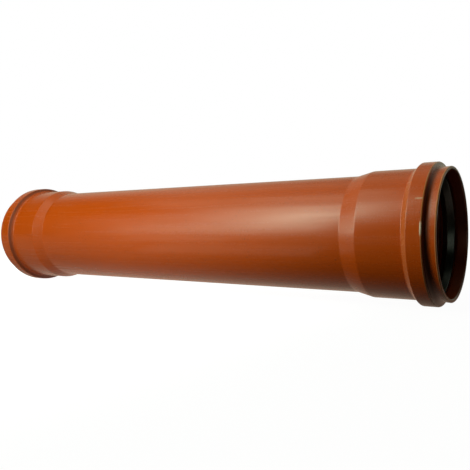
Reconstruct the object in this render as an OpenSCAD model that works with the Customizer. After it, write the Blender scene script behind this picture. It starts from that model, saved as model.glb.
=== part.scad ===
// Sewer pipe with a push-fit socket formed on both ends, a rubber ring in each.
// It lies on its two beads. X runs along the pipe and Z points up from the floor.

/* [Pipe] */
// Outside diameter of the plain pipe
pipe_od = 110; // [75:1:200]
// Wall of the plain pipe
pipe_wall = 3.2; // [2:0.1:6]
// Length over both mouths
overall_length = 576; // [300:1:3000]

/* [Sleeve] */
// Room left all round a pushed-in pipe
spigot_clearance = 0.4; // [0.2:0.05:1]
// Wall of the sleeve
sleeve_wall = 3.5; // [2:0.1:6]
// Length of the sleeve, from the bead's shoulder to the cone
sleeve_length = 40; // [25:0.5:80]
// Length of the cone from the sleeve down to the plain pipe
cone_length = 15.5; // [10:0.5:30]
// Radius that eases the cone into the sleeve and into the pipe
cone_blend = 6; // [2:0.5:40]

/* [Bead] */
// Depth of the ring's groove, outwards from the sleeve's bore
groove_depth = 5; // [4:0.1:8]
// Wall over the groove
bead_wall = 3.4; // [2:0.1:6]
// Length of the bead's crown
bead_length = 13; // [11:0.5:20]
// Length of the sloping shoulder from the bead down to the sleeve
shoulder_length = 4.9; // [3:0.1:10]
// Wall between the neck and the groove
web_wall = 2.8; // [2:0.1:6]
// Rounding of the bead's edge on the mouth side
bead_edge = 1.2; // [0.4:0.1:2]
// Rounding at the top and the foot of the shoulder
shoulder_blend = 1.4; // [0.6:0.1:5]
// Rounding of the edge where a pushed-in pipe passes from the neck into the groove
web_round = 3.5; // [1:0.1:4]
// Rounding in the corners of the groove
groove_corner = 0.8; // [0.2:0.1:1.2]
// Rounding of the edge where a pushed-in pipe enters the sleeve's bore
bore_edge = 2; // [0.5:0.1:4]

/* [Mouth] */
// Length of the lip, from the mouth's face to the bead
lip_length = 10; // [6:0.5:20]
// Wall of the lip
lip_wall = 3.2; // [2:0.1:6]
// Extra room round a pushed-in pipe at the neck
neck_ease = 0.2; // [0:0.05:1]
// Widening of the lip from the neck to the mouth
mouth_flare = 0.6; // [0.1:0.1:2]
// Rounding of the mouth's inner edge
lead_in = 1.2; // [0.4:0.1:1.6]
// Rounding of the mouth's outer edge
rim_edge = 0.8; // [0.2:0.1:1.2]
// Hollow between the lip and the bead
neck_hollow = 3.4; // [1:0.1:4]

/* [Rubber ring] */
// Gap between the ring and its groove
ring_gap = 0.25; // [0.1:0.05:0.5]
// Room between the pressed-back ribs and a pushed-in pipe
ring_relief = 0.3; // [0.2:0.05:0.4]
// Length of the nose that reaches from the groove towards the mouth
nose_reach = 1.2; // [0.5:0.1:2]
// Width of each sealing rib
rib_width = 1.8; // [1:0.1:2.4]
// Depth of the channel between the ribs
channel_depth = 1.9; // [1:0.1:2.6]
// Distance from the back of the groove to the rear rib
rear_setback = 3; // [1.5:0.1:4]
// Height of the heel that backs the ring against the shoulder
heel_height = 2.2; // [1:0.1:3]
// Rounding of the ring's edges
ring_edge = 0.5; // [0.2:0.1:0.8]

/* [Hidden] */
$fn = 144;

// Straight steps in each rounding
arc_steps = 5;
// Most of an edge that the roundings at its two ends may take up together
edge_use = 0.98;
// Share of the space between the ribs that each side of the channel slopes over
channel_slope = 0.4;

half_length = overall_length / 2;

// Radii, from the pushed-in pipe outwards
pipe_r = pipe_od / 2;
pipe_bore_r = pipe_r - pipe_wall;
sleeve_bore_r = pipe_r + spigot_clearance;
sleeve_r = sleeve_bore_r + sleeve_wall;
groove_r = sleeve_bore_r + groove_depth;
bead_r = groove_r + bead_wall;
neck_bore_r = sleeve_bore_r + neck_ease;
neck_r = neck_bore_r + lip_wall;
mouth_bore_r = neck_bore_r + mouth_flare;
mouth_r = neck_r + mouth_flare;

// Places along the socket, counted inwards from the mouth
bead_end = lip_length + bead_length;
sleeve_start = bead_end + shoulder_length;
cone_start = sleeve_start + sleeve_length;
cone_end = cone_start + cone_length;
groove_start = lip_length + web_wall;
shoulder_slope = atan2(bead_r - sleeve_r, shoulder_length);
groove_end = inner_shoulder(groove_r);
bore_start = inner_shoulder(sleeve_bore_r);

// Place on the inner face of the shoulder, one bead wall in from its outer face
function inner_shoulder(r) =
    bead_end - bead_wall / sin(shoulder_slope) + (bead_r - r) / tan(shoulder_slope);

// A line is a list of corners, each a radius, a place from the mouth and a rounding
wall_outside = [
    [mouth_r, 0, rim_edge],
    [neck_r, lip_length, neck_hollow],
    [bead_r, lip_length, bead_edge],
    [bead_r, bead_end, shoulder_blend],
    [sleeve_r, sleeve_start, shoulder_blend],
    [sleeve_r, cone_start, cone_blend],
    [pipe_r, cone_end, cone_blend],
];
wall_inside = [
    [mouth_bore_r, 0, lead_in],
    [neck_bore_r, groove_start, web_round],
    [groove_r, groove_start, groove_corner],
    [groove_r, groove_end, groove_corner],
    [sleeve_bore_r, bore_start, bore_edge],
    [sleeve_bore_r, cone_start, cone_blend],
    [pipe_bore_r, cone_end, cone_blend],
];

// Radii and places of the rubber ring, pressed back as a pushed-in pipe leaves it
ring_r = groove_r - ring_gap;
rib_r = pipe_r + ring_relief;
channel_r = rib_r + channel_depth;
heel_r = ring_r - heel_height;
ring_start = groove_start + ring_gap;
ring_end = groove_end - ring_gap;
nose = groove_start - nose_reach;
front_rib_end = nose + rib_width;
rear_rib_end = groove_end - rear_setback;
rear_rib_start = rear_rib_end - rib_width;
heel = ring_end + heel_height / tan(shoulder_slope);
channel_run = (rear_rib_start - front_rib_end) * channel_slope;
channel_start = front_rib_end + channel_run;
channel_end = rear_rib_start - channel_run;

ring_line = [
    [rib_r, nose, ring_edge],
    [rib_r, front_rib_end, ring_edge],
    [channel_r, channel_start, ring_edge],
    [channel_r, channel_end, ring_edge],
    [rib_r, rear_rib_start, ring_edge],
    [rib_r, rear_rib_end, ring_edge],
    [heel_r, heel, ring_edge],
    [ring_r, ring_end, groove_corner + ring_gap],
    [ring_r, ring_start, groove_corner + ring_gap],
    [channel_r, ring_start, ring_edge],
];

function right_end(line) = [for (c = line) [c[0], half_length - c[1], c[2]]];
function left_end(line) = [for (c = line) [c[0], c[1] - half_length, c[2]]];
function reversed(list) = [for (i = [len(list) - 1:-1:0]) list[i]];
function flat(c) = [c[0], c[1]];
function unit(v) = v / norm(v);
function next(line, i) = line[(i + 1) % len(line)];
function previous(line, i) = line[(i + len(line) - 1) % len(line)];

// Directions from corner i to the corners before and after it
function back_way(line, i) = unit(flat(previous(line, i)) - flat(line[i]));
function on_way(line, i) = unit(flat(next(line, i)) - flat(line[i]));

// Half the angle by which the line turns at corner i
function half_turn(line, i) = 90 - acos(back_way(line, i) * on_way(line, i)) / 2;

// Corners that share an edge split it in proportion to their roundings
function edge_share(here, other) =
    norm(flat(here) - flat(other)) * edge_use * here[2] / (here[2] + other[2]);

// Distance from corner i to the ends of its arc
function reach(line, i) = min(
    line[i][2] * tan(half_turn(line, i)),
    edge_share(line[i], previous(line, i)),
    edge_share(line[i], next(line, i)));

// Points of the arc at corner i: a rational curve pulled towards the corner by the cosine of half
// the turn, which makes it a true circle
function arc(line, i) =
    let (
        corner = flat(line[i]),
        start = corner + back_way(line, i) * reach(line, i),
        end = corner + on_way(line, i) * reach(line, i),
        pull = cos(half_turn(line, i)))
    [for (k = [0:arc_steps])
        let (
            t = k / arc_steps,
            from_start = (1 - t) * (1 - t),
            from_corner = 2 * t * (1 - t) * pull,
            from_end = t * t)
        (start * from_start + corner * from_corner + end * from_end)
            / (from_start + from_corner + from_end)];

// Closed outline with each corner rounded
module rounded_outline(line) {
    polygon([for (i = [0:len(line) - 1]) each arc(line, i)]);
}

// Turns an outline about the pipe's axis, which lies one bead radius above the floor
module turned(line) {
    translate([0, 0, bead_r])
        rotate([0, 90, 0])
            rotate_extrude()
                rounded_outline(line);
}

module pipe() {
    color("#A85A2E")
        turned(concat(
            right_end(wall_inside),
            reversed(left_end(wall_inside)),
            left_end(wall_outside),
            reversed(right_end(wall_outside))));
}

module seal_ring_left() {
    color("#22241F")
        turned(left_end(ring_line));
}

module seal_ring_right() {
    color("#22241F")
        turned(right_end(ring_line));
}

pipe();
seal_ring_left();
seal_ring_right();
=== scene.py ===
"""Looks of the double socket drain pipe: a formed plastic pipe with a rubber ring in each socket."""
import math
from types import SimpleNamespace

import bpy
import numpy as np
from mathutils import Euler, Matrix, Vector


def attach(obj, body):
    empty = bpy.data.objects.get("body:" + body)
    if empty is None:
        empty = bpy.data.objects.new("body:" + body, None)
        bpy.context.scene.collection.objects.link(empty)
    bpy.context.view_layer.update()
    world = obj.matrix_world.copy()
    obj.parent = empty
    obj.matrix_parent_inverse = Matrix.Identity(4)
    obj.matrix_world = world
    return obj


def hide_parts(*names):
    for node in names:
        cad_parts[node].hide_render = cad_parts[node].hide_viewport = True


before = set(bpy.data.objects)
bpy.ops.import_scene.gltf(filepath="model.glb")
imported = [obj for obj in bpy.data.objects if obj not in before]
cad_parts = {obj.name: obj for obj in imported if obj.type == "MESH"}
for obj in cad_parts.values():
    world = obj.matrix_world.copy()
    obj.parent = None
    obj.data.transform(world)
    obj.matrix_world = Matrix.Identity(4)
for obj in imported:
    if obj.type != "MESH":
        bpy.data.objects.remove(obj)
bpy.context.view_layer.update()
MM = 0.001

# The pipe lies along X with its axis above the origin, at the height of its beads' radius.
HALF_LENGTH = 288.0 * MM
AXIS_HEIGHT = 63.8 * MM

# Radii of the wall, outside and inside.
PIPE_R = 55.0 * MM
PIPE_BORE_R = 51.8 * MM
SLEEVE_R = 58.9 * MM
SLEEVE_BORE_R = 55.4 * MM
BEAD_R = 63.8 * MM
GROOVE_R = 60.4 * MM
NECK_R = 58.8 * MM
NECK_BORE_R = 55.6 * MM
MOUTH_R = 59.4 * MM
MOUTH_BORE_R = 56.2 * MM

# Places along a socket, counted inwards from its mouth.
LIP_END = 10.0 * MM
GROOVE_START = 12.8 * MM
GROOVE_END = 21.6 * MM
BEAD_END = 23.0 * MM
BORE_START = 26.6 * MM
SLEEVE_START = 27.9 * MM
CONE_START = 67.9 * MM
CONE_END = 83.4 * MM

# Roundings of the wall's corners.
LEAD_IN = 1.2 * MM
WEB_ROUND = 3.5 * MM
GROOVE_CORNER = 0.8 * MM
BORE_EDGE = 2.0 * MM
RIM_EDGE = 0.8 * MM
NECK_HOLLOW = 3.4 * MM
BEAD_EDGE = 1.2 * MM
SHOULDER_BLEND = 1.4 * MM
CONE_BLEND = 6.0 * MM

# The rubber ring at rest: radii, places counted inwards from the mouth, and roundings.
RING_R = 60.15 * MM
RING_START = 13.05 * MM
RING_END = 21.3 * MM
RING_CORNER = 1.0 * MM
RING_EDGE = 0.5 * MM
NOSE_R = 55.3 * MM
NOSE = 11.2 * MM
NOSE_ROOT_R = 57.2 * MM
TIP_R = 53.4 * MM
TIP = 18.4 * MM
TIP_EDGE = 0.6 * MM
TIP_ROOT_R = 56.5 * MM
TIP_ROOT = 19.4 * MM
HEEL_R = 57.95 * MM
HEEL = 23.5 * MM

# Fineness of the turned surfaces.
TURN_STEPS = 224
ARC_STEPS = 8
EDGE_POINTS = 5
EDGE_MARGIN = 0.6 * MM
EDGE_MARGIN_SHARE = 0.25


def unit(vectors):
    """Each vector over its own length."""
    return vectors / np.linalg.norm(vectors, axis=-1, keepdims=True)


def rounded_line(corners):
    """Closed line through rounded corners, as an array of radius and place.

    Each corner's rounding starts and ends on the two edges beside it, at the rounding's radius times the
    tangent of half the turn. It is the rational curve from the start to the end that the corner pulls by the
    cosine of half the turn, which is a true arc. A few points follow on the straight edge after each arc, the
    first and last close to the arcs, so that the edge stays straight when it is shaded smooth.
    """
    corners = np.array(corners)
    points, roundings = corners[:, :2], corners[:, 2]
    back = unit(np.roll(points, 1, 0) - points)
    on = unit(np.roll(points, -1, 0) - points)
    half_turn = math.pi / 2 - np.arccos(np.clip((back * on).sum(1), -1, 1)) / 2
    reach = (roundings * np.tan(half_turn))[:, None]
    starts, ends = points + back * reach, points + on * reach
    t = np.linspace(0, 1, ARC_STEPS + 1)[None, :, None]
    pull = np.cos(half_turn)[:, None, None]
    of_start, of_corner, of_end = (1 - t) ** 2, 2 * t * (1 - t) * pull, t ** 2
    arcs = starts[:, None] * of_start + points[:, None] * of_corner + ends[:, None] * of_end
    arcs /= of_start + of_corner + of_end
    edges = np.roll(starts, -1, 0) - ends
    lengths = np.linalg.norm(edges, axis=1)
    margin = np.minimum(EDGE_MARGIN / lengths, EDGE_MARGIN_SHARE)[:, None, None]
    share = margin + (1 - 2 * margin) * np.linspace(0, 1, EDGE_POINTS)[None, :, None]
    straights = ends[:, None] + edges[:, None] * share
    return np.concatenate([arcs, straights], axis=1).reshape(-1, 2)


def at_right(line):
    """A line given by its distance from the mouth, placed at the right end."""
    return [(r, HALF_LENGTH - place, rounding) for r, place, rounding in line]


def at_left(line):
    """The same line, mirrored to the left end."""
    return [(r, place - HALF_LENGTH, rounding) for r, place, rounding in line]


def turned_piece(name, corners, material):
    """Closed ring: a rounded line turned about the pipe's axis.

    A point at radius r and place x goes to (x, r cos a, height + r sin a), with the angle a going once round.
    Each grid cell is one face that looks outwards, and both directions close on themselves.
    """
    line = rounded_line(corners)
    angles = np.linspace(0, 2 * math.pi, TURN_STEPS, endpoint=False)
    r, x = line[:, 0][:, None], line[:, 1][:, None]
    grid = np.stack([
        np.broadcast_to(x, (len(line), TURN_STEPS)),
        r * np.cos(angles),
        AXIS_HEIGHT + r * np.sin(angles),
    ], axis=-1)
    index = np.arange(grid.shape[0] * grid.shape[1]).reshape(grid.shape[:2])
    along, round_ = np.roll(index, -1, 0), np.roll(index, -1, 1)
    faces = np.stack([index, round_, np.roll(along, -1, 1), along], axis=-1).reshape(-1, 4)
    mesh = bpy.data.meshes.new(name)
    mesh.from_pydata(grid.reshape(-1, 3), [], faces)
    mesh.polygons.foreach_set("use_smooth", np.ones(len(faces), bool))
    mesh.materials.append(material)
    mesh.update()
    piece = bpy.data.objects.new(name, mesh)
    bpy.context.scene.collection.objects.link(piece)
    return piece


def pipe_corners():
    """The pipe's wall: inside from the right mouth to the left, then outside back to the right."""
    inside = [
        (MOUTH_BORE_R, 0.0, LEAD_IN),
        (NECK_BORE_R, GROOVE_START, WEB_ROUND),
        (GROOVE_R, GROOVE_START, GROOVE_CORNER),
        (GROOVE_R, GROOVE_END, GROOVE_CORNER),
        (SLEEVE_BORE_R, BORE_START, BORE_EDGE),
        (SLEEVE_BORE_R, CONE_START, CONE_BLEND),
        (PIPE_BORE_R, CONE_END, CONE_BLEND),
    ]
    outside = [
        (MOUTH_R, 0.0, RIM_EDGE),
        (NECK_R, LIP_END, NECK_HOLLOW),
        (BEAD_R, LIP_END, BEAD_EDGE),
        (BEAD_R, BEAD_END, SHOULDER_BLEND),
        (SLEEVE_R, SLEEVE_START, SHOULDER_BLEND),
        (SLEEVE_R, CONE_START, CONE_BLEND),
        (PIPE_R, CONE_END, CONE_BLEND),
    ]
    return at_right(inside) + at_left(inside)[::-1] + at_left(outside) + at_right(outside)[::-1]


def ring_corners():
    """The rubber ring at rest: one lip slopes from the nose inwards to its tip, a heel backs the shoulder."""
    return [
        (NOSE_R, NOSE, RING_EDGE),
        (TIP_R, TIP, TIP_EDGE),
        (TIP_ROOT_R, TIP_ROOT, RING_EDGE),
        (HEEL_R, HEEL, RING_EDGE),
        (RING_R, RING_END, RING_CORNER),
        (RING_R, RING_START, RING_CORNER),
        (NOSE_ROOT_R, RING_START, RING_EDGE),
    ]


def socket(sockets, key):
    """The socket with this identifier, or else with this name."""
    named = [s for s in sockets if s.identifier == key] or [s for s in sockets if s.name == key]
    return named[0]


def add(tree, kind, inputs=None, **settings):
    """New shader node with its settings, its inputs set to numbers or linked to other nodes' outputs."""
    made = tree.nodes.new("ShaderNode" + kind)
    for name, value in settings.items():
        setattr(made, name, value)
    for name, value in (inputs or {}).items():
        target = socket(made.inputs, name)
        if isinstance(value, bpy.types.NodeSocket):
            tree.links.new(value, target)
        else:
            target.default_value = value
    return made


def math_of(tree, operation, first, second=0.0):
    """One sum, comparison or other operation on one or two values."""
    return add(tree, "Math", {"Value": first, "Value_001": second}, operation=operation).outputs["Value"]


def product(tree, *factors):
    """Product of several values."""
    result = factors[0]
    for factor in factors[1:]:
        result = math_of(tree, "MULTIPLY", result, factor)
    return result


def total(tree, *terms):
    """Sum of several values."""
    result = terms[0]
    for term in terms[1:]:
        result = math_of(tree, "ADD", result, term)
    return result


def largest(tree, *values):
    """Largest of several values."""
    result = values[0]
    for value in values[1:]:
        result = math_of(tree, "MAXIMUM", result, value)
    return result


def ramp(tree, value, low, high, to_low=0.0, to_high=1.0):
    """Smooth step of a value from one range to another, held at both ends."""
    return add(tree, "MapRange", {
        "Value": value, "From Min": low, "From Max": high, "To Min": to_low, "To Max": to_high,
    }, interpolation_type="SMOOTHSTEP").outputs["Result"]


def band(tree, value, middle, half_width, soft):
    """One near a middle value, falling softly to nothing past the half width."""
    away = math_of(tree, "ABSOLUTE", math_of(tree, "SUBTRACT", value, middle))
    return ramp(tree, away, half_width, half_width + soft, 1.0, 0.0)


def noise(tree, place, scale, detail=2.0, stretch=None):
    """Noise of a size on a place, drawn out along an axis where a stretch is given."""
    if stretch:
        place = add(tree, "Mapping", {"Vector": place, "Scale": stretch}).outputs["Vector"]
    return add(tree, "TexNoise", {"Vector": place, "Scale": scale, "Detail": detail}).outputs["Fac"]


def mixed(tree, factor, under, over):
    """One colour over another."""
    mix = add(tree, "Mix", {"Factor_Float": factor, "A_Color": under, "B_Color": over}, data_type="RGBA")
    return socket(mix.outputs, "Result_Color")


def finish(name):
    """New material with its tree, its shader and the place on the part."""
    material = bpy.data.materials.new(name)
    material.use_nodes = True
    tree = material.node_tree
    place = add(tree, "TexCoord").outputs["Object"]
    return material, tree, tree.nodes["Principled BSDF"], place


def connect(tree, shader, color, roughness, bump):
    """Colour, roughness and bump to the shader."""
    tree.links.new(color, shader.inputs["Base Color"])
    tree.links.new(roughness, shader.inputs["Roughness"])
    tree.links.new(bump, shader.inputs["Normal"])


PLASTIC = (0.62, 0.083, 0.001, 1)
PLASTIC_DEEP = (0.585, 0.077, 0.001, 1)
PLASTIC_DULL = (0.615, 0.089, 0.004, 1)
# Painted reflection on the slope behind the right bead.
SHOULDER_SHEEN = (0.58, 0.150, 0.045, 1)
SCUFF = (0.62, 0.19, 0.075, 1)
# Painted highlight on the right bead's edge and the lip rims.
EDGE_HIGHLIGHT = (0.70, 0.25, 0.09, 1)
SPECK = (0.16, 0.030, 0.006, 1)
# Painted shade in the lip hollows, behind the left bead and inside the pipe.
PAINTED_SHADE = (0.05, 0.010, 0.002, 1)
# Painted glint on the front edge of the right bead.
GLINT = (1.0, 0.74, 0.57, 1)
SCRATCHED = (0.75, 0.42, 0.26, 1)
RUBBER = (0.055, 0.080, 0.076, 1)
RUBBER_DUSTY = (0.17, 0.22, 0.21, 1)
WHITE = (1, 1, 1, 1)

# Depth of the fine marks that the bump shows.
PLASTIC_RELIEF = 0.02 * MM
RUBBER_RELIEF = 0.03 * MM

# A short pale scratch across the right bead, at its front.
SCRATCH_X = 274.2 * MM
SCRATCH_Z = 92.6 * MM
SCRATCH_LENGTH = 5.4 * MM
SCRATCH_WIDTH = 0.9 * MM

# The painted glint: a bright spot on the front edge of the right bead.
GLINT_Z = 68.5 * MM
GLINT_HALF = 3.2 * MM
GLINT_FADE = 3.6 * MM

# Painted shade darkens the inside, up to these radii in the sockets and in the plain pipe.
SOCKET_SHADE_R = 57.2 * MM
PIPE_SHADE_R = 53.4 * MM
SOCKET_SHADE_END = 60.0 * MM


def pipe_places(tree, place):
    """Where a point is on the pipe: coordinates, height over the axis, radius and distance from a mouth."""
    split = add(tree, "SeparateXYZ", {"Vector": place}).outputs
    x, y, z = split["X"], split["Y"], split["Z"]
    up = math_of(tree, "SUBTRACT", z, AXIS_HEIGHT)
    radius = math_of(tree, "SQRT", total(tree, product(tree, y, y), product(tree, up, up)))
    return SimpleNamespace(
        x=x, z=z, up=up, radius=radius,
        from_mouth=math_of(tree, "SUBTRACT", HALF_LENGTH, math_of(tree, "ABSOLUTE", x)),
        right=math_of(tree, "GREATER_THAN", x, 0.0),
        front=math_of(tree, "LESS_THAN", y, 0.0))


def past(tree, at, radius, soft):
    """One past a radius, coming in softly."""
    return ramp(tree, at.radius, radius, radius + soft)


def within(tree, at, radius, soft):
    """One within a radius, falling off softly."""
    return ramp(tree, at.radius, radius, radius + soft, 1.0, 0.0)


def speck_mask(tree, place):
    """Fine dark specks, gathered in patches."""
    return product(tree, ramp(tree, noise(tree, place, 850, 1), 0.69, 0.74),
                   ramp(tree, noise(tree, place, 35, 1), 0.48, 0.62))


def shoulder_sheen_mask(tree, at):
    """The slope behind the right bead, painted paler as a reflection of the light falling on it."""
    middle = (BEAD_END + SLEEVE_START) / 2
    return product(tree, band(tree, at.from_mouth, middle, 2.2 * MM, 0.6 * MM),
                   past(tree, at, SLEEVE_R, 0.7 * MM), at.right)


def rubbed_mask(tree, place, at):
    """Streaks round the crowns of the beads, where they rub on the ground."""
    return product(tree, past(tree, at, BEAD_R - 0.25 * MM, 0.23 * MM),
                   ramp(tree, noise(tree, place, 420, 3, (1, 0.12, 0.12)), 0.5, 0.66))


def neck_shade_mask(tree, at):
    """Painted shade in the hollow between each lip and its bead, weaker towards the top."""
    return product(tree, ramp(tree, at.from_mouth, 3.0 * MM, 8.5 * MM),
                   math_of(tree, "LESS_THAN", at.from_mouth, LIP_END + 0.6 * MM),
                   past(tree, at, NECK_R - 1.4 * MM, 0.4 * MM),
                   within(tree, at, BEAD_R - 1.6 * MM, 0.5 * MM),
                   ramp(tree, at.up, 30 * MM, 58 * MM, 0.68, 0.2))


def foot_shadow_mask(tree, at):
    """Painted shadow on the sleeve at the foot of the left shoulder."""
    middle = BEAD_END + 1.2 * MM - HALF_LENGTH
    return product(tree, band(tree, at.x, middle, 0.7 * MM, 2.8 * MM),
                   past(tree, at, SLEEVE_R - 0.4 * MM, 0.3 * MM),
                   within(tree, at, BEAD_R - 0.7 * MM, 0.6 * MM))


def inside_shade_mask(tree, at):
    """Painted shade on the inside of the sockets and of the plain pipe."""
    limit = ramp(tree, at.from_mouth, SOCKET_SHADE_END, SOCKET_SHADE_END + 0.1 * MM,
                 SOCKET_SHADE_R, PIPE_SHADE_R)
    return math_of(tree, "LESS_THAN", at.radius, limit)


def edge_highlight_mask(tree, at):
    """Painted highlight lines on the edge of the right bead and the rims of both lips."""
    bead_edge_highlight = product(tree, band(tree, at.from_mouth, LIP_END + 0.5 * MM, 0.6 * MM, 0.3 * MM),
                        past(tree, at, BEAD_R - 1.4 * MM, 0.3 * MM), at.right)
    rim_highlight = product(tree, band(tree, at.from_mouth, 0.5 * MM, 0.6 * MM, 0.4 * MM),
                  past(tree, at, MOUTH_R - 1.0 * MM, 0.3 * MM))
    return largest(tree, bead_edge_highlight, rim_highlight)


def glint_mask(tree, at):
    """Painted glint: a short bright spot on the edge of the right bead."""
    return product(tree, band(tree, at.from_mouth, LIP_END + 0.8 * MM, 0.8 * MM, 0.3 * MM),
                   band(tree, at.z, GLINT_Z, GLINT_HALF, GLINT_FADE), at.front, at.right,
                   past(tree, at, BEAD_R - 1.2 * MM, 0.4 * MM))


def scratch_mask(tree, place, at):
    """The short scratch along the crown of the right bead, broken by noise."""
    return product(tree, band(tree, at.x, SCRATCH_X, SCRATCH_LENGTH / 2, 0.8 * MM),
                   band(tree, at.z, SCRATCH_Z, SCRATCH_WIDTH / 2, 0.5 * MM), at.front,
                   past(tree, at, BEAD_R - 0.6 * MM, 0.4 * MM),
                   ramp(tree, noise(tree, place, 900, 2), 0.3, 0.5))


def plastic_finish():
    """Formed orange-brown plastic: drawn streaks, mottling, specks, small damage, and painted shade,
    highlights, glint and shoulder reflection.

    Each layer is a mask, the most that it covers and its colour, and lies over the layers before it.
    """
    material, tree, shader, place = finish("formed_plastic")
    at = pipe_places(tree, place)
    streaks = noise(tree, place, 240, 3, (0.03, 1, 1))
    hairlines = noise(tree, place, 1500, 2, (0.012, 1, 1))
    mottle = noise(tree, place, 26, 4)
    grain = noise(tree, place, 1100, 2)
    trimmed = ramp(tree, at.from_mouth, 0.25 * MM, 0.02 * MM)
    foot_shadow = foot_shadow_mask(tree, at)
    # Painted shade: the hollows behind the lips, the foot of the left shoulder and the inside.
    painted_shade = largest(tree, neck_shade_mask(tree, at), product(tree, foot_shadow, 0.6),
                   product(tree, inside_shade_mask(tree, at), 0.5))
    layers = (
        (ramp(tree, streaks, 0.48, 0.72), 0.55, PLASTIC_DEEP),
        (ramp(tree, mottle, 0.48, 0.70), 0.5, PLASTIC_DULL),
        (speck_mask(tree, place), 0.85, SPECK),
        (shoulder_sheen_mask(tree, at), 0.6, SHOULDER_SHEEN),
        (rubbed_mask(tree, place, at), 0.05, SCUFF),
        (trimmed, 0.5, SCUFF),
        (painted_shade, 1.0, PAINTED_SHADE),
        (edge_highlight_mask(tree, at), 0.85, EDGE_HIGHLIGHT),
        (glint_mask(tree, at), 1.0, GLINT),
        (scratch_mask(tree, place, at), 0.8, SCRATCHED),
    )
    color = PLASTIC
    for mask, cover, layer in layers:
        color = mixed(tree, product(tree, mask, cover), color, layer)
    roughness = total(tree, ramp(tree, streaks, 0.3, 0.7, 0.20, 0.26), ramp(tree, grain, 0.3, 0.7, 0, 0.04),
                      product(tree, trimmed, 0.15), product(tree, painted_shade, 0.15), product(tree, foot_shadow, 0.06))
    height = total(tree, product(tree, hairlines, 0.1), product(tree, grain, 0.5),
                   product(tree, streaks, 0.3))
    bump = add(tree, "Bump", {"Height": height, "Strength": 0.25, "Distance": PLASTIC_RELIEF})
    connect(tree, shader, color, roughness, bump.outputs["Normal"])
    shader.inputs["Specular IOR Level"].default_value = 0.5
    return material


def rubber_finish():
    """Black ring rubber with a dusty grey-green bloom."""
    material, tree, shader, place = finish("lip_rubber")
    bloom = noise(tree, place, 90, 4, (1, 0.4, 0.4))
    grain = noise(tree, place, 1600, 2)
    color = mixed(tree, ramp(tree, bloom, 0.38, 0.72, 0, 0.8), RUBBER, RUBBER_DUSTY)
    roughness = ramp(tree, bloom, 0.3, 0.7, 0.22, 0.32)
    bump = add(tree, "Bump", {"Height": grain, "Strength": 0.3, "Distance": RUBBER_RELIEF})
    connect(tree, shader, color, roughness, bump.outputs["Normal"])
    return material


plastic = plastic_finish()
rubber = rubber_finish()
pipe = turned_piece("formed_pipe", pipe_corners(), plastic)
ring_right = turned_piece("lip_ring_right", at_right(ring_corners()), rubber)
ring_left = turned_piece("lip_ring_left", at_left(ring_corners())[::-1], rubber)
for piece, node, slot in (
        (pipe, "pipe", "pipe_plastic"),
        (ring_right, "seal_ring_right", "seal_rubber"),
        (ring_left, "seal_ring_left", "seal_rubber")):
    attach(piece, "root")
    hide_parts(node)

# Camera: level with the pipe's axis, in front of the right mouth, turned to the left.
IMAGE_SIZE = 470
FOCAL_PIXELS = 555.0
SENSOR_MM = 36.0
CAMERA_PAST_MOUTH = 114.1 * MM
CAMERA_DISTANCE = 505.3 * MM
CAMERA_YAW = 0.59773
CAMERA_PITCH = -0.963 / FOCAL_PIXELS
CAMERA_ROLL = 0.00166

camera_data = bpy.data.cameras.new("camera")
camera_data.sensor_width = SENSOR_MM
camera_data.lens = FOCAL_PIXELS / IMAGE_SIZE * SENSOR_MM
camera = bpy.data.objects.new("camera", camera_data)
aim = Euler((math.pi / 2 + CAMERA_PITCH, 0, CAMERA_YAW)).to_matrix()
turn = aim @ Matrix.Rotation(CAMERA_ROLL, 3, "Z")
stand = Matrix.Translation((HALF_LENGTH + CAMERA_PAST_MOUTH, -CAMERA_DISTANCE, AXIS_HEIGHT))
camera.matrix_world = stand @ turn.to_4x4()
bpy.context.scene.collection.objects.link(camera)
bpy.context.scene.camera = camera

# The floor and the backdrop look white to the eye. Other rays see their paler or darker parts: a backdrop of
# the lamps' slightly green tint, and a floor that glows warm to mirrored rays under the pipe, a painted
# reflection of the pipe's own colour.
LIGHT_TINT = (0.93, 1.04, 0.80, 1)
# Warm tint of the floor's glow to mirrored rays: a painted reflection of the pipe's colour.
FLOOR_GLOW_TINT = (1.0, 0.77, 0.585, 1)
FLOOR_HALF = 4.0
FLOOR_PALE = 0.50
FLOOR_DARK = 0.04
FLOOR_LIFT = 0.97
FLOOR_MIRRORED = 0.65
BACKDROP_MIRRORED = 0.55
BACKDROP_LIGHT = 0.55


def seen(tree, mirrored):
    """Share of the white that shows: all to the eye, a part to mirrored and refracted rays, else none."""
    path = add(tree, "LightPath").outputs
    bounced = largest(tree, path["Is Glossy Ray"], path["Is Transmission Ray"])
    return largest(tree, path["Is Camera Ray"], product(tree, bounced, mirrored))


def white_to_eye(tree, tint):
    """White to the eye, and the tint to other rays."""
    return mixed(tree, add(tree, "LightPath").outputs["Is Camera Ray"], tint, WHITE)


def floor_finish():
    """Pale floor, darker under the right end, that the pipe mirrors only where it lies."""
    material, tree, shader, place = finish("pale_floor")
    split = add(tree, "SeparateXYZ", {"Vector": place}).outputs
    under_pipe = product(tree, ramp(tree, split["Y"], -0.06, 0.0, 0.0, FLOOR_MIRRORED),
                         ramp(tree, split["Y"], 0.06, 0.14, 1.0, 0.0),
                         ramp(tree, split["X"], 0.22, 0.30, 1.0, 0.5))
    pale = ramp(tree, split["X"], -0.10, 0.28, FLOOR_PALE, FLOOR_DARK)
    tree.links.new(pale, shader.inputs["Base Color"])
    shader.inputs["Roughness"].default_value = 1.0
    shader.inputs["Specular IOR Level"].default_value = 0.0
    tree.links.new(white_to_eye(tree, FLOOR_GLOW_TINT), shader.inputs["Emission Color"])
    lift = product(tree, seen(tree, under_pipe), FLOOR_LIFT)
    tree.links.new(lift, shader.inputs["Emission Strength"])
    return material


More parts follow.
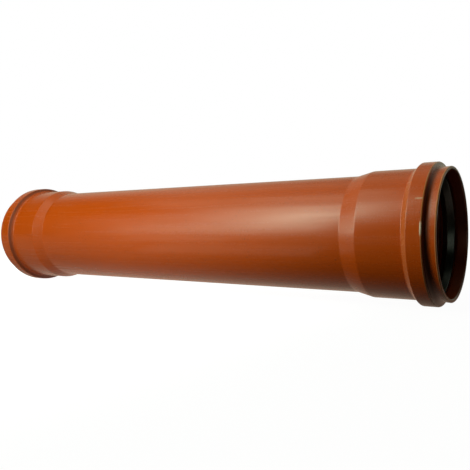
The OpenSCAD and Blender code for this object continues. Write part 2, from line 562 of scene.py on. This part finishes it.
floor_mesh = bpy.data.meshes.new("floor")
floor_corners = [(-1, -1), (1, -1), (1, 1), (-1, 1)]
floor_mesh.from_pydata([(x * FLOOR_HALF, y * FLOOR_HALF, 0) for x, y in floor_corners], [], [(0, 1, 2, 3)])
floor = bpy.data.objects.new("floor", floor_mesh)
bpy.context.scene.collection.objects.link(floor)
floor_mesh.materials.append(floor_finish())


def softbox(name, place, facing, width, height, brightness):
    """Rectangular area lamp that faces one way and looks equally bright at any size."""
    lamp = bpy.data.lights.new(name, "AREA")
    lamp.shape = "RECTANGLE"
    lamp.size = width
    lamp.size_y = height
    lamp.energy = math.pi * width * height * brightness
    lamp.color = LIGHT_TINT[:3]
    holder = bpy.data.objects.new(name, lamp)
    holder.location = place
    holder.rotation_euler = Vector(facing).to_track_quat("-Z", "Y").to_euler()
    bpy.context.scene.collection.objects.link(holder)


# Light: a tall main box in steps, brightest at a third of its height, stands in front of the pipe's left half
# with lower boxes to its left. Weaker boxes far off, above and on the floor fill in.
TO_PIPE = (0.365, 0.44, 0)
TO_BACK = (0, 1, 0)
TO_RIGHT = (1, 0, 0)
DOWN = (0, 0, -1)
UP = (0, 0, 1)
KEY_X = -0.10
KEY_Y = -0.50
KEY_WIDTH = 0.15
KEY_STEP = 0.09
KEY_STEPS = (1.9, 4.5, 5.8, 5.3, 4.7, 3.8, 3.1, 2.4, 1.9)
# The other boxes: name, middle, the way it faces, width, height and brightness.
SOFTBOXES = (
    ("key_left", (-0.25, -0.50, 0.365), TO_PIPE, KEY_WIDTH, 0.60, 2.7),
    ("key_left_top", (-0.25, -0.50, 0.74), TO_PIPE, KEY_WIDTH, 0.15, 3.0),
    ("key_far", (-0.40, -0.50, 0.59), TO_PIPE, KEY_WIDTH, 0.45, 1.3),
    ("far_left", (-1.0, -1.1, 0.32), TO_BACK, 0.3, 0.6, 2.5),
    ("far_high", (-1.3, -1.1, 0.92), TO_BACK, 0.3, 0.6, 1.4),
    ("front_high", (-0.4, -1.1, 0.92), TO_BACK, 0.3, 0.6, 3.9),
    ("side_back", (-2.2, 0.20, 0.92), TO_RIGHT, 0.8, 0.6, 0.95),
    ("top", (-0.2, -0.45, 0.9), DOWN, 0.4, 0.7, 1.55),
    ("top_left", (-0.6, -0.45, 0.9), DOWN, 0.4, 0.7, 0.85),
    ("top_wide", (0, 0.2, 0.9), DOWN, 1.6, 0.65, 0.34),
    ("card", (-0.2, -0.35, 0.01), UP, 0.2, 0.2, 1.5),
    ("card_near", (0.03, -0.12, 0.01), UP, 0.24, 0.07, 0.4),
)
for number, brightness in enumerate(KEY_STEPS, 1):
    middle = (KEY_X, KEY_Y, number * KEY_STEP)
    softbox("key_%d" % number, middle, TO_PIPE, KEY_WIDTH, KEY_STEP, brightness)
for box in SOFTBOXES:
    softbox(*box)


def pale_backdrop():
    """Backdrop by direction: pale behind the pipe, with a patch in front that only mirrored rays see."""
    world = bpy.data.worlds.new("pale_backdrop")
    world.use_nodes = True
    tree = world.node_tree
    toward = add(tree, "SeparateXYZ", {"Vector": add(tree, "TexCoord").outputs["Generated"]}).outputs
    path = add(tree, "LightPath").outputs
    behind = product(tree, ramp(tree, toward["Y"], -0.1, 0.5), ramp(tree, toward["Z"], 0.42, 0.85, 1.0, 0.2),
                     ramp(tree, toward["X"], 0.3, 0.7, 1.0, 0.35),
                     largest(tree, seen(tree, BACKDROP_MIRRORED), BACKDROP_LIGHT))
    in_front = product(tree, band(tree, toward["X"], 0.22, 0.13, 0.06),
                       ramp(tree, toward["Y"], -0.1, 0.1, 1.0, 0.0),
                       band(tree, toward["Z"], 0.0, 0.30, 0.25), path["Is Glossy Ray"])
    background = tree.nodes["Background"].inputs
    tree.links.new(white_to_eye(tree, LIGHT_TINT), background["Color"])
    tree.links.new(largest(tree, behind, in_front, path["Is Camera Ray"]), background["Strength"])
    return world


bpy.context.scene.world = pale_backdrop()
bpy.context.scene.view_settings.view_transform = "Standard"
